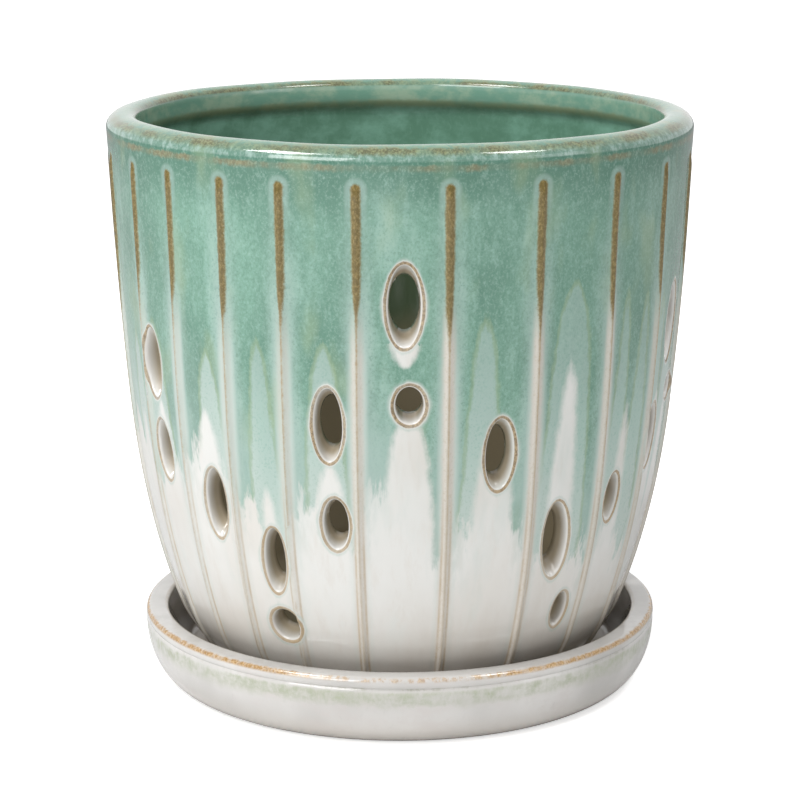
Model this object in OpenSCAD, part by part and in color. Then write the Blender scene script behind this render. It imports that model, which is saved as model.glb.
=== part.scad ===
/* [Rim] */
// Outer radius of the pot at the rim
rim_r = 101.5; // [96:0.5:108]
// Height of the rim over the surface that the saucer stands on
rim_z = 202.3; // [190:0.1:215]
// Width of the round outer shoulder of the lip
lip_outer_w = 6.7; // [5:0.1:8]
// Height of the round outer shoulder of the lip
lip_outer_h = 4.8; // [3:0.1:6]
// Width of the round inner shoulder of the lip
lip_inner_w = 3.9; // [3:0.1:5]
// Height of the round inner shoulder of the lip
lip_inner_h = 2.5; // [1.5:0.1:3.5]
// Depth of the bead that the lip forms inside the mouth
lip_bead_h = 8.5; // [7:0.5:12]

/* [Pot wall] */
// Thickness of the wall
wall_t = 7.5; // [6:0.25:9]
// How far the wall leans in evenly from the rim to the heel
wall_lean = 8.5; // [5:0.25:12]
// How far the wall swells in below that, mostly near the heel
wall_swell = 12.5; // [9:0.25:15]
// How sharply the swell gathers towards the heel
swell_power = 3.9; // [3:0.1:5]
// Extra tuck of the wall from the heel to the foot
foot_tuck = 4; // [2:0.25:6]
// Radius of the edge round the foot
foot_round = 3; // [2:0.5:4]
// Radius of the fillet between the inner wall and the floor
floor_fillet = 12; // [8:0.5:15]
// Thickness of the floor over the recess of the foot
floor_t = 5; // [4:0.5:8]
// Depth of the recess under the foot
foot_recess = 3; // [2:0.5:4]
// Width of the ring that the pot stands on
foot_ring_w = 9; // [7:0.5:12]
// Radius of the drain hole in the floor
drain_r = 11; // [8:0.5:15]
// Radius of the water channels across the foot ring
channel_r = 2.5; // [1.5:0.25:2.75]
// Number of water channels across the foot ring
channels = 3; // [2:1:6]

/* [Ridges] */
// Height of the upper ends of the ridges
ridge_top_z = 190.3; // [180:0.1:192]
// Width of a ridge
ridge_w = 2.6; // [2:0.1:3.4]
// Height by which a ridge stands out of the wall
ridge_stand = 0.8; // [0.6:0.05:1.2]
// Sideways lean of the ridges on the flanks, away from the front towards the foot, in degrees
ridge_lean = 2.4; // [0:0.2:3]
// Turn of the ridges on the flanks at half height, in degrees
ridge_shift = 2; // [0:0.25:3]
// Number of panels in the part of the wall that faces away
back_panels = 14; // [12:1:16]

/* [Slots] */
// Width of a tall slot at the outer face, inside its softened edge
slot_w = 9.2; // [7:0.2:11]
// Length of a tall slot at the outer face, inside its softened edge
slot_h = 24; // [19:0.5:27]
// Width of a small hole at the outer face, inside its softened edge
hole_w = 8.4; // [7:0.2:10.4]
// Length of a small hole at the outer face, inside its softened edge
hole_h = 14; // [11:0.5:17]
// Share of its size that a slot keeps at the inner face
slot_taper = 0.86; // [0.8:0.02:0.95]
// Width of the softened edge round each slot
slot_edge = 1.3; // [0.5:0.1:1.5]
// Middle height of the wave that the tall slots follow
wave_z = 106.8; // [100:0.2:112]
// Rise and fall of that wave
wave_amp = 42; // [30:1:45]
// Number of waves round the pot
waves = 5; // [4:1:6]
// Turn of the wave behind against the front one, in degrees of a wave
wave_turn = 30; // [0:5:45]
// Drop from a tall slot on a crest to the small hole below it
hole_drop = 33; // [30:0.5:36]
// Drop from a tall slot in a trough to the small hole below it
trough_drop = 25; // [22:0.5:26]

/* [Saucer] */
// Largest outer radius of the saucer
saucer_r = 91.3; // [88:0.1:96]
// Height of the saucer
saucer_h = 25.8; // [24:0.2:30]
// Radius of the flat ring that the saucer stands on
saucer_base_r = 78.5; // [74:0.5:80]
// Width of that ring
saucer_ring_w = 9; // [6:0.5:14]
// Depth of the recess under the saucer
saucer_recess = 2; // [1:0.25:3]
// Height of the saucer's floor, on which the pot stands
saucer_floor_z = 8; // [6.5:0.25:9]
// Radius of the flat part of that floor
saucer_floor_r = 74; // [72:0.25:75]
// Radius of the fillet round the floor
saucer_fillet = 4.5; // [3:0.25:5]
// Width of the saucer's rim
saucer_rim_w = 8; // [7:0.25:9]
// Radius of the outer edge of the saucer's rim
saucer_edge = 2; // [1:0.25:2.5]
// Height of the plain band under the saucer's rim, above the crease
rim_band_h = 3.8; // [3.5:0.1:5]
// Depth of the crease below that band
crease_d = 0.4; // [0.2:0.1:0.6]

/* [Hidden] */
$fn = 128;

glaze_green = [0.49, 0.66, 0.58];
glaze_white = [0.88, 0.87, 0.84];

// Heights that split the pot's outer face
foot_z = saucer_floor_z;
wall_top_z = rim_z - lip_outer_h;
heel_z = 34.8;
tuck_z = 26.8;
foot_edge_z = foot_z + foot_round;
floor_z = foot_z + foot_recess + floor_t;
wall_steps = 10;
ridge_steps = 10;

// Slope from the lip's bead back to the inner wall
bead_slope_h = 2.5;

// How far the ridges stay above the foot, run into the wall, and fade out at their upper ends
ridge_foot_z = foot_z + 5;
ridge_root = 2;
ridge_end_h = 3;

// How far the cutters run past a face, past the wall's inner face, and how deep the soft edge reaches
cut_over = 1;
slot_out = 3;
slot_past = 6;
slot_flare = 1.5;

// Rounding of the saucer rim's inner edge, and the slopes above and below the crease
saucer_in_edge = 1.6;
crease_top_h = 0.6;
crease_foot_h = 1;

// Angles at the upper ends of the ridges on the side that shows, from the front to the right
front_ridges = [-75, -60.7, -48, -34.6, -22.2, -7.9, 9, 26.5, 43.8, 60.2, 76.5];
last_ridge = front_ridges[len(front_ridges) - 1];
back_step = (360 + front_ridges[0] - last_ridge) / back_panels;
ridges = concat(front_ridges, [for (i = [1:back_panels - 1]) last_ridge + i * back_step]);

// Angle, height on the wave as a share of its rise, and how much wider and longer than the usual
// each tall slot and each small hole on that side is
front_slots = [
    [-58.8, 0.388, 0.97, 0.97], [-42, -0.66, 0.95, 0.99], [-28, -1.067, 0.83, 0.95],
    [-14, 0.117, 0.99, 1.01], [0.8, 1.067, 1.14, 1.09], [20, -0.138, 1.01, 0.98],
    [35.3, -0.929, 1.05, 1.11], [65.5, -0.274, 0.84, 0.91], [71, 0.638, 0.92, 1.11]
];
front_holes = [
    [-58, -0.333, 0.98, 1.44], [-27.8, -1.638, 1.24, 0.79], [-13.2, -0.695, 0.98, 1.23],
    [1.8, 0.293, 1.08, 0.86], [40.8, -1.581, 0.65, 0.87], [51.2, -0.679, 0.8, 1.16],
    [75.2, 0.06, 0.8, 0.55]
];

// Each panel that faces away has its tall slot on the wave, and most have a small hole below it
function wave(a) = cos(waves * a + wave_turn);
function wave_height(share) = wave_z + wave_amp * share;
function back_angle(i) = last_ridge + (i - 0.5) * back_step;
function drop(a) = (wave(a) > 0 ? hole_drop : trough_drop) / wave_amp;
back_list = [for (i = [1:back_panels]) back_angle(i)];
back_slots = [for (a = back_list) [a, wave(a), 1, 1]];
back_holes = [for (a = back_list) if (abs(wave(a)) > 0.35) [a, wave(a) - drop(a), 1, 1]];

// Outer radius of the pot's wall at a height
function down(z) = max(0, (wall_top_z - z) / (wall_top_z - heel_z));
function tuck(z) = foot_tuck * pow(max(0, (tuck_z - z) / (tuck_z - foot_z)), 1.5);
function wall_r(z) = rim_r - wall_lean * down(z) - wall_swell * pow(down(z), swell_power) - tuck(z);
function wall_slope_angle(z) = atan(wall_r(z + 0.5) - wall_r(z - 0.5));

// Points of an arc of an ellipse
function arc(c, rx, ry, from, to, steps) =
    [for (i = [0:steps]) let (t = from + (to - from) * i / steps) c + [rx * cos(t), ry * sin(t)]];

// Evenly spaced heights from one to the other
function heights(from, to, steps) = [for (i = [0:steps]) from + (to - from) * i / steps];

module pot_profile() {
    lip_in_r = rim_r - lip_outer_w - lip_inner_w;
    inner_top_z = rim_z - lip_inner_h - lip_bead_h;
    fillet_z = floor_z + floor_fillet;
    fillet_r = wall_r(fillet_z) - wall_t;
    ring_in_r = wall_r(foot_edge_z) - foot_round - foot_ring_w;
    polygon(concat(
        [[0, foot_z + foot_recess], [ring_in_r - foot_recess / 2, foot_z + foot_recess], [ring_in_r, foot_z]],
        arc([wall_r(foot_edge_z) - foot_round, foot_edge_z], foot_round, foot_round, -90, -30, 4),
        [for (z = heights(foot_edge_z, wall_top_z, wall_steps)) [wall_r(z), z]],
        arc([rim_r - lip_outer_w, wall_top_z], lip_outer_w, lip_outer_h, 10, 90, 8),
        arc([rim_r - lip_outer_w, rim_z - lip_inner_h], lip_inner_w, lip_inner_h, 99, 180, 6),
        [[lip_in_r, inner_top_z + bead_slope_h]],
        [for (z = heights(inner_top_z, fillet_z, wall_steps - 2)) [wall_r(z) - wall_t, z]],
        arc([fillet_r - floor_fillet, fillet_z], floor_fillet, floor_fillet, -15, -90, 6),
        [[0, floor_z]]
    ));
}

// One ridge: a plate that stands out of the wall, leaning sideways with the flank
module ridge(a) {
    zs = heights(ridge_foot_z, ridge_top_z, ridge_steps);
    mid_z = (ridge_top_z + ridge_foot_z) / 2;
    end_z = ridge_top_z + ridge_end_h;
    rotate([0, 0, a + ridge_shift * sin(a)])
        translate([0, 0, mid_z])
            rotate([0, -ridge_lean * sin(a), 0])
                rotate([90, 0, -90])
                    linear_extrude(height = ridge_w, center = true)
                        polygon(concat(
                            [for (z = zs) [wall_r(z) + ridge_stand, z - mid_z]],
                            [[wall_r(end_z) - ridge_root, end_z - mid_z]],
                            [for (i = [ridge_steps:-1:0]) [wall_r(zs[i]) - ridge_root, zs[i] - mid_z]]
                        ));
}

// Oval cutter square to the wall, narrower inside, with a flare for the soft edge outside
module slot_cutter(a, z, w, h) {
    reach = wall_t + slot_past;
    slope = w / 2 * (1 - slot_taper) / wall_t;
    flare = slot_edge + slot_flare;
    flare_r = w / 2 + slot_edge;
    rotate([0, 0, a])
        translate([0, -wall_r(z), z])
            rotate([wall_slope_angle(z), 0, 0]) {
                scale([1, 1, h / w])
                    rotate([90, 0, 0])
                        translate([0, 0, -reach])
                            cylinder(
                                r1 = w / 2 - slope * reach, r2 = w / 2 + slope * slot_out,
                                h = reach + slot_out
                            );
                scale([1, 1, (h + 2 * slot_edge) / (w + 2 * slot_edge)])
                    rotate([90, 0, 0])
                        translate([0, 0, -flare])
                            cylinder(r1 = flare_r - flare, r2 = flare_r + slot_out, h = flare + slot_out);
            }
}

module pot() {
    ring_mid_r = wall_r(foot_edge_z) - foot_round - foot_ring_w / 2;
    color(glaze_green)
    difference() {
        union() {
            rotate_extrude() pot_profile();
            for (a = ridges) ridge(a);
        }
        for (s = concat(front_slots, back_slots))
            slot_cutter(s[0], wave_height(s[1]), slot_w * s[2], slot_h * s[3]);
        for (s = concat(front_holes, back_holes))
            slot_cutter(s[0], wave_height(s[1]), hole_w * s[2], hole_h * s[3]);
        translate([0, 0, foot_z - cut_over]) cylinder(r = drain_r, h = floor_z - foot_z + 2 * cut_over);
        for (i = [0:channels - 1]) {
            rotate([0, 0, i * 360 / channels])
                translate([0, -ring_mid_r, foot_z])
                    rotate([90, 0, 0])
                        cylinder(r = channel_r, h = 2 * foot_ring_w, center = true);
        }
    }
}

module saucer() {
    band_z = saucer_h - rim_band_h;
    edge_z = saucer_h - saucer_edge;
    rim_in_r = saucer_r - saucer_rim_w;
    in_edge = saucer_in_edge;
    bowl_h = band_z - crease_foot_h;
    ring_in_r = saucer_base_r - saucer_ring_w;
    color(glaze_white)
    rotate_extrude()
        polygon(concat(
            [[0, saucer_recess], [ring_in_r - saucer_recess, saucer_recess], [ring_in_r, 0]],
            arc([saucer_base_r, bowl_h], saucer_r - saucer_base_r, bowl_h, -90, 0, 12),
            [[saucer_r - crease_d, band_z], [saucer_r, band_z + crease_top_h]],
            arc([saucer_r - saucer_edge, edge_z], saucer_edge, saucer_edge, 0, 90, 6),
            arc([rim_in_r + in_edge, saucer_h - in_edge], in_edge, in_edge, 90, 180, 4),
            arc([saucer_floor_r, saucer_floor_z + saucer_fillet], saucer_fillet, saucer_fillet, -15, -90, 6),
            [[0, saucer_floor_z]]
        ));
}

saucer();
pot();
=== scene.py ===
import math

import bmesh
import bpy
import numpy as np
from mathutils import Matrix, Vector


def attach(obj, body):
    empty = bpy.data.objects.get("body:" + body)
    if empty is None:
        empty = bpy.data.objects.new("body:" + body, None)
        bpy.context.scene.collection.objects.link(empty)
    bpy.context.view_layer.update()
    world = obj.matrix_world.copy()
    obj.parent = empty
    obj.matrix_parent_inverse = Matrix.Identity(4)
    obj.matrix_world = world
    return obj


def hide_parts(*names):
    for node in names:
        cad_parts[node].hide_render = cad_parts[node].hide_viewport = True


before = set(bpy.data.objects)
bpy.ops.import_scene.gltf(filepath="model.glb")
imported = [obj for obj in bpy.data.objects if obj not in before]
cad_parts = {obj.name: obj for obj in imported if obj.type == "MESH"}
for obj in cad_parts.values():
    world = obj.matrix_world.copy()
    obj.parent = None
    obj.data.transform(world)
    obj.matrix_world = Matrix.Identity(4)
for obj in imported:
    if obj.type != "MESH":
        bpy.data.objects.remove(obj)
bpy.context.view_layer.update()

# Sizes of the shapes are in millimetres and degrees, as in the part's source, and turn into metres
# in new_object. Angles go from the front towards the right. Camera, lamps and floor are in metres.
MM = 0.001

# Pot: rim and wall
RIM_R = 101.5
RIM_Z = 202.3
LIP_OUTER_W = 6.7
LIP_OUTER_H = 4.8
LIP_INNER_W = 3.9
LIP_INNER_H = 2.5
WALL_TOP = RIM_Z - LIP_OUTER_H
WALL_T = 7.5
HEEL_Z = 34.8
TUCK_Z = 26.8
FOOT_Z = 8.0
FOOT_ROUND = 3.0
WALL_LEAN = 8.5
WALL_SWELL = 12.5
SWELL_POWER = 3.9
FOOT_TUCK = 4.0
FLOOR_Z = 16.0
FILLET = 12.0
DRAIN_R = 11.0
RECESS_Z = 11.0
FOOT_RING_W = 9.0
CHANNEL_R = 2.5
CHANNELS = 3

# Ridges: angles at their upper ends
FRONT_RIDGES = [-75, -60.7, -48, -34.6, -22.2, -7.9, 9, 26.5, 43.8, 60.2, 76.5]
BACK_PANELS = 14
BACK_STEP = (360 + FRONT_RIDGES[0] - FRONT_RIDGES[-1]) / BACK_PANELS
RIDGES = np.array(FRONT_RIDGES + [FRONT_RIDGES[-1] + i * BACK_STEP for i in range(1, BACK_PANELS)])
RIDGE_TOP_Z = 191.3
RIDGE_DRIFT = 5.5
DRIFT_FROM_Z = 190.0
DRIFT_SPAN = 165.0
RIDGE_H = 0.9
RIDGE_HALF_TOP = 1.6
RIDGE_HALF_FOOT = 1.2
RIDGE_WIDENS = (20, 190)
RIDGE_TOP_FADE = (RIDGE_TOP_Z + 2, RIDGE_TOP_Z - 6)
RIDGE_FOOT_FADE = (9, 14)

# Shallow hollow of each panel between two ridges, and the heights between which it fades
DISH = 0.35
DISH_TOP_FADE = (194, 176)
DISH_FOOT_FADE = (14, 40)

# Hand-made unevenness of the wall: rise in mm, waves round the pot, mm of height for one radian
HAND_WAVES = [(0.10, 3, 40.0), (0.07, 7, -23.0), (0.05, 2, -11.0)]
HAND_FROM_Z = 24
HAND_TO_Z = 180

# Slots on the side that shows: angle, height, width and length over the soft edge, lean of the long axis
FRONT_SLOTS = [
    (-58.8, 123.1, 11.5, 25.8, 0.00),
    (-58.0, 92.8, 10.8, 22.7, 0.00),
    (-42.0, 79.1, 11.3, 26.4, 0.05),
    (-28.0, 62.0, 10.2, 25.4, 0.06),
    (-27.8, 38.0, 13.0, 13.6, 0.00),
    (-14.0, 111.7, 11.7, 26.8, 0.00),
    (-13.2, 77.6, 10.8, 19.8, 0.00),
    (0.8, 151.6, 13.1, 28.8, 0.00),
    (1.8, 119.1, 11.7, 14.6, 0.00),
    (20.0, 101.0, 11.9, 26.2, 0.00),
    (35.3, 67.8, 12.3, 29.3, -0.08),
    (40.8, 40.4, 8.1, 14.8, 0.00),
    (51.2, 78.3, 9.3, 18.8, 0.00),
    (65.5, 95.3, 10.3, 24.5, 0.00),
    (71.0, 133.6, 11.1, 29.3, 0.00),
    (75.2, 109.3, 9.3, 10.3, 0.00),
]
# Slots behind: they follow an even wave round the pot
WAVE_Z = 106.8
WAVE_AMP = 42.0
WAVES = 5
WAVE_TURN = 30.0
HOLE_DROP = 33.0
TROUGH_DROP = 25.0
NO_HOLE_BELOW = 0.35
BACK_SLOT = (11.8, 26.6)
BACK_HOLE = (11.0, 16.6)
# Edges of the slots, and how much narrower and shorter a slot gets towards the inside, as a share
EDGE_R = 1.3
INNER_EDGE_R = 0.8
INSIDE_COLOUR_DEPTH = 1.2
TAPER_W = 0.05
TAPER_H = 0.31

# Tongues of pale and of white glaze that reach up into the green: angle, height of the tip, half width
PALE_TONGUES = [
    (-67, 133, 4.0), (-57.5, 139, 5.5), (-40.5, 132, 5.2), (-28, 138.5, 4.1), (-14.6, 139, 5.6),
    (16.2, 148, 4.6), (35, 157, 7.2), (49.4, 151, 2.6), (56.4, 148, 3.0), (64, 146, 3.0), (71, 150, 4.5),
]
WHITE_TONGUES = [
    (-67, 104, 4.5), (-57, 112, 6.0), (-42, 113, 6.4), (-28, 89, 4.6), (-14, 101, 6.2), (1.6, 119, 8.0),
    (19, 112, 7.0), (35, 131, 4.4), (52.3, 113, 3.6), (66, 112, 5.0), (73, 108, 4.0),
]
# Heights at which the green ends beside the left and the right ridge of each panel that shows
GREEN_ENDS = [
    (100, 88), (86, 88), (97, 93), (86, 66), (82, 75), (87, 70), (74, 74), (68, 62), (66, 58), (64, 82),
]
# How strongly each ridge on that side turns beige below its brown part
RIDGE_BEIGE = [0.3, 0.3, 0.25, 0.3, 0.45, 0.85, 1.0, 1.0, 0.9, 0.8, 0.6]
TIP_LENGTH = 9.0
TONGUE_SPREAD = 0.05
# White drip under the top slot: angle, heights of its top and its tip, half width
DRIP = (0.8, 137.5, 131.0, 5.2)
# Values of the glaze's fields where no ridge, slot or tongue is near
FAR = 12.0
NO_TONGUE = -20.0

# Grid over the pot's wall
ROW_STEP = 1.6
RIDGE_OFFSETS = [0.0, 0.45, 0.9, 1.5]
PANEL_INNER = 14
FOOT_EDGE_Z = FOOT_Z + FOOT_ROUND
INNER_LOW_Z = 27.0
INNER_TOP_Z = 190.3
SLOT_MARGIN = 0.6

# Lip: outward places and drops below the rim of the bead inside, and its hand-made wave
LIP_BEAD = [(-0.1, 5.3), (0, 7.3), (0.35, 8.7), (1.1, 10.0), (2.0, 11.1)]
LIP_INSIDE_FROM = 14
LIP_WAVES = [(0.12, 5, 0), (0.08, 11, 40)]

# Floor of the pot: radii of the rings of points across it, and the drain hole's edge
FLOOR_RINGS = (50, 40, 30, 21)
DRAIN_EDGE = 1.5
BASE_RINGS = (25, 42)

# Saucer
SAUCER_R = 91.3
SAUCER_H = 25.8
SAUCER_BASE_R = 78.5
SAUCER_RING_W = 9.0
SAUCER_RECESS = 2.0
SAUCER_FLOOR_Z = 8.0
SAUCER_FLOOR_R = 74.0
SAUCER_FILLET = 4.5
SAUCER_RIM_W = 8.0
SAUCER_EDGE = 2.0
SAUCER_IN_EDGE = 1.6
SAUCER_BAND = 3.8
CREASE_D = 0.4
SAUCER_MIDDLE_R = 2
SAUCER_BARE_Z = 0.3

# Hand-made wave of the saucer's rim: rise in mm, waves round it and turn; where it sets in
SAUCER_WAVES = [(0.10, 3, 1), (0.06, 8, 0)]
SAUCER_WAVE_Z = (2, 20)
SAUCER_WAVE_R = (70, 84)
SAUCER_TOP_WAVE = 0.6
SAUCER_TOP_Z = (20, 26)
SAUCER_COLUMNS = 256


def smooth(a, b, x):
    t = np.clip((x - a) / (b - a), 0, 1)
    return t * t * (3 - 2 * t)


def wall_r(z):
    down = np.maximum(0, (WALL_TOP - z) / (WALL_TOP - HEEL_Z))
    tuck = FOOT_TUCK * np.maximum(0, (TUCK_Z - z) / (TUCK_Z - FOOT_Z)) ** 1.5
    return RIM_R - WALL_LEAN * down - WALL_SWELL * down ** SWELL_POWER - tuck


def wall_slope(z):
    return wall_r(z + 0.5) - wall_r(z - 0.5)


def ridge_angles(z):
    """Angle of every ridge at each height, one row for each height."""
    u = np.clip((DRIFT_FROM_Z - np.asarray(z, float)) / DRIFT_SPAN, 0, 1.1)
    return RIDGES[None, :] + RIDGE_DRIFT * np.sin(np.radians(RIDGES))[None, :] * (u ** 1.5)[:, None]


def panel_place(theta, z):
    """Panel number, place across it from 0 to 1, and distance to the nearest ridge in mm."""
    angles = ridge_angles(z)
    start = angles[:, :1]
    turn = np.mod(theta[:, None] - start, 360)
    steps = np.mod(angles - start, 360)
    panel = (turn >= steps - 1e-9).sum(1) - 1
    ends = np.concatenate([steps, np.full((len(z), 1), 360.0)], 1)
    rows = np.arange(len(z))
    low = ends[rows, panel]
    high = ends[rows, panel + 1]
    across = (turn[:, 0] - low) / (high - low)
    near = np.minimum(turn[:, 0] - low, high - turn[:, 0])
    return panel, across, np.radians(near) * wall_r(z)


def stand(theta, z):
    """How far the outer face stands out of the even wall."""
    _, across, ridge_mm = panel_place(theta, z)
    half = RIDGE_HALF_FOOT + (RIDGE_HALF_TOP - RIDGE_HALF_FOOT) * smooth(*RIDGE_WIDENS, z)
    crest = np.cos(np.clip(ridge_mm / half, 0, 1) * math.pi / 2) ** 2
    ends = smooth(*RIDGE_TOP_FADE, z) * smooth(*RIDGE_FOOT_FADE, z)
    dish = -DISH * np.sin(math.pi * across) * smooth(*DISH_TOP_FADE, z) * smooth(*DISH_FOOT_FADE, z)
    t = np.radians(theta)
    hand = sum(rise * np.sin(waves * t + z / span) for rise, waves, span in HAND_WAVES)
    calm = smooth(FOOT_EDGE_Z, HAND_FROM_Z, z) * smooth(WALL_TOP, HAND_TO_Z, z)
    return RIDGE_H * crest * ends + dish + hand * calm


def wall_point(theta, z, depth):
    """Point at a depth under the outer face, square to the wall."""
    theta, z, depth = np.broadcast_arrays(*(np.asarray(v, float) for v in (theta, z, depth)))
    slope = wall_slope(z)
    n = 1 / np.sqrt(1 + slope * slope)
    off = stand(theta.ravel(), z.ravel()).reshape(z.shape) * smooth(3, 0, depth) - depth
    r = wall_r(z) + off * n
    return polar(theta, r, z - off * slope * n)


def polar(theta, r, z):
    t = np.radians(theta)
    return np.stack(np.broadcast_arrays(r * np.sin(t), -r * np.cos(t), z), -1)


def arc(cx, cz, rx, rz, start, stop, steps):
    t = np.radians(np.linspace(start, stop, steps))
    return list(zip(cx + rx * np.cos(t), cz + rz * np.sin(t)))


def all_slots():
    slots = list(FRONT_SLOTS)
    for i in range(1, BACK_PANELS + 1):
        a = FRONT_RIDGES[-1] + (i - 0.5) * BACK_STEP
        wave = math.cos(math.radians(WAVES * a + WAVE_TURN))
        z = WAVE_Z + WAVE_AMP * wave
        slots.append((a, z, BACK_SLOT[0], BACK_SLOT[1], 0.0))
        if abs(wave) > NO_HOLE_BELOW:
            drop = HOLE_DROP if wave > 0 else TROUGH_DROP
            slots.append((a, z - drop, BACK_HOLE[0], BACK_HOLE[1], 0.0))
    return slots


SLOTS = all_slots()


def slot_local(slot, theta, z):
    """Sideways and upward distance from the slot's middle, in mm over the wall."""
    turn = np.mod(theta - slot[0] + 180, 360) - 180
    up = z - slot[1]
    side = np.radians(turn) * wall_r(z) - slot[4] * up
    return side, up


def slot_angle(slot, side, up):
    return slot[0] + np.degrees((side + slot[4] * up) / wall_r(slot[1] + up))


def glaze_tables():
    """Tongues and green ends all round; those that face away are seeded."""
    rng = np.random.default_rng(7)
    beige = list(RIDGE_BEIGE)
    pale = list(PALE_TONGUES)
    white = list(WHITE_TONGUES)
    ends = list(GREEN_ENDS)
    for i in range(1, BACK_PANELS + 1):
        middle = FRONT_RIDGES[-1] + (i - 0.5) * BACK_STEP
        tip = rng.uniform(130, 154)
        half = rng.uniform(3.5, 6.5)
        pale.append((middle + rng.uniform(-2, 2), tip, half))
        white.append((middle + rng.uniform(-1, 1), tip - rng.uniform(24, 40), half * 0.8))
        ends.append((rng.uniform(64, 92), rng.uniform(64, 92)))
        beige.append(rng.uniform(0.3, 1.0))
    return pale, white, np.array(ends), np.array(beige[:len(RIDGES)])


PALE, WHITES, ENDS, BEIGE = glaze_tables()


def sideways(theta, z, angle):
    turn = np.mod(theta - angle + 180, 360) - 180
    return np.abs(np.radians(turn)) * wall_r(z)


def tongues(theta, z, rows):
    """Distance in from the edge of the nearest tongue in mm, negative outside."""
    best = np.full(len(z), NO_TONGUE)
    for angle, tip, half in rows:
        drop = np.maximum(0, tip - z)
        width = half * (1 - np.exp(-drop / TIP_LENGTH)) + TONGUE_SPREAD * np.maximum(0, drop - 20)
        best = np.maximum(best, width - sideways(theta, z, angle) - 0.5 * np.maximum(0, z - tip))
    return best


def drip(theta, z):
    """Distance in from the edge of the white drip under the top slot."""
    angle, top, tip, half = DRIP
    f = np.clip((z - tip) / (top - tip), 0, 1)
    inside = half * np.sqrt(f) - sideways(theta, z, angle) - np.maximum(0, tip - z)
    return np.where(z < top + 3, inside, NO_TONGUE)


def glaze_fields(theta, z):
    """Smooth fields in mm that the glaze's nodes turn into colour, one value for each point."""
    panel, across, ridge_mm = panel_place(theta, z)
    ends = ENDS[panel]
    end_z = ends[:, 0] + (ends[:, 1] - ends[:, 0]) * smooth(0.3, 0.7, across)
    next_ridge = BEIGE[(panel + 1) % len(RIDGES)]
    beige = BEIGE[panel] + (next_ridge - BEIGE[panel]) * smooth(0.4, 0.6, across)
    slot_mm = np.full(len(z), FAR)
    for s in SLOTS:
        side_mm, up = slot_local(s, theta, z)
        a = s[2] / 2 - EDGE_R
        b = s[3] / 2 - EDGE_R
        rho = np.sqrt((side_mm / a) ** 2 + (up / b) ** 2) + 1e-6
        dist = (rho - 1) * np.sqrt(side_mm ** 2 + up ** 2) / rho
        slot_mm = np.minimum(slot_mm, dist)
    return {
        "ridge_mm": np.minimum(ridge_mm, FAR),
        "slot_mm": slot_mm,
        "end_mm": end_z - z,
        "beige": beige,
        "pale_mm": tongues(theta, z, PALE),
        "white_mm": np.maximum(tongues(theta, z, WHITES), drip(theta, z)),
    }


# Fields of plain green glaze, and of the plain white under the pot
PLAIN = {"ridge_mm": FAR, "slot_mm": FAR, "end_mm": -60.0, "pale_mm": NO_TONGUE, "white_mm": NO_TONGUE}
PLAIN_WHITE = {"ridge_mm": FAR, "slot_mm": FAR, "end_mm": 60.0, "pale_mm": 20.0, "white_mm": 20.0}


class Shell:
    """Points, faces and named fields of one mesh."""

    def __init__(self):
        self.points = []
        self.fields = {}
        self.faces = []
        self.count = 0

    def add(self, points, **fields):
        points = np.asarray(points, float).reshape(-1, 3)
        n = len(points)
        for name in set(self.fields) | set(fields):
            if name not in self.fields:
                self.fields[name] = [np.zeros(self.count)]
            value = fields.get(name, 0.0)
            self.fields[name].append(np.broadcast_to(np.asarray(value, float).ravel(), (n,)).copy())
        self.points.append(points)
        start = self.count
        self.count += n
        return np.arange(start, self.count)

    def band(self, low, high, skip=None):
        """Quads between two closed rows of point numbers."""
        quads = np.stack([low, np.roll(low, -1), np.roll(high, -1), high], 1)
        self.faces.append(quads if skip is None else quads[~skip])


def new_object(name, shell):
    mesh = bpy.data.meshes.new(name)
    points = np.concatenate(shell.points) * MM
    faces = np.concatenate(shell.faces)
    mesh.vertices.add(len(points))
    mesh.vertices.foreach_set("co", points.ravel())
    mesh.loops.add(faces.size)
    mesh.loops.foreach_set("vertex_index", faces.ravel().astype(np.int32))
    mesh.polygons.add(len(faces))
    mesh.polygons.foreach_set("loop_start", np.arange(0, faces.size, 4, dtype=np.int32))
    mesh.update(calc_edges=True)
    mesh.polygons.foreach_set("use_smooth", np.ones(len(faces), bool))
    for field, parts in shell.fields.items():
        layer = mesh.attributes.new(field, "FLOAT", "POINT")
        layer.data.foreach_set("value", np.concatenate(parts).astype(np.float32))
    mesh.validate()
    obj = bpy.data.objects.new(name, mesh)
    bpy.context.scene.collection.objects.link(obj)
    return obj


def wall_columns():
    """Panel, share of the right ridge and added angle of every column of the grid."""
    columns = []
    edge = RIDGE_OFFSETS[-1]
    for i in range(len(RIDGES)):
        for off in RIDGE_OFFSETS:
            columns.append((i, 0.0, off))
        for k in range(1, PANEL_INNER):
            f = k / PANEL_INNER
            columns.append((i, f, edge * (1 - 2 * f)))
        for off in RIDGE_OFFSETS[:0:-1]:
            columns.append((i, 1.0, -off))
    panel, share, added = np.array(columns).T
    return panel.astype(int), share, added


def column_angles(z):
    panel, share, added = wall_columns()
    angles = ridge_angles(z)
    right = np.concatenate([angles[:, 1:], angles[:, :1] + 360], 1)
    return angles[:, panel] * (1 - share) + right[:, panel] * share + added


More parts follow.
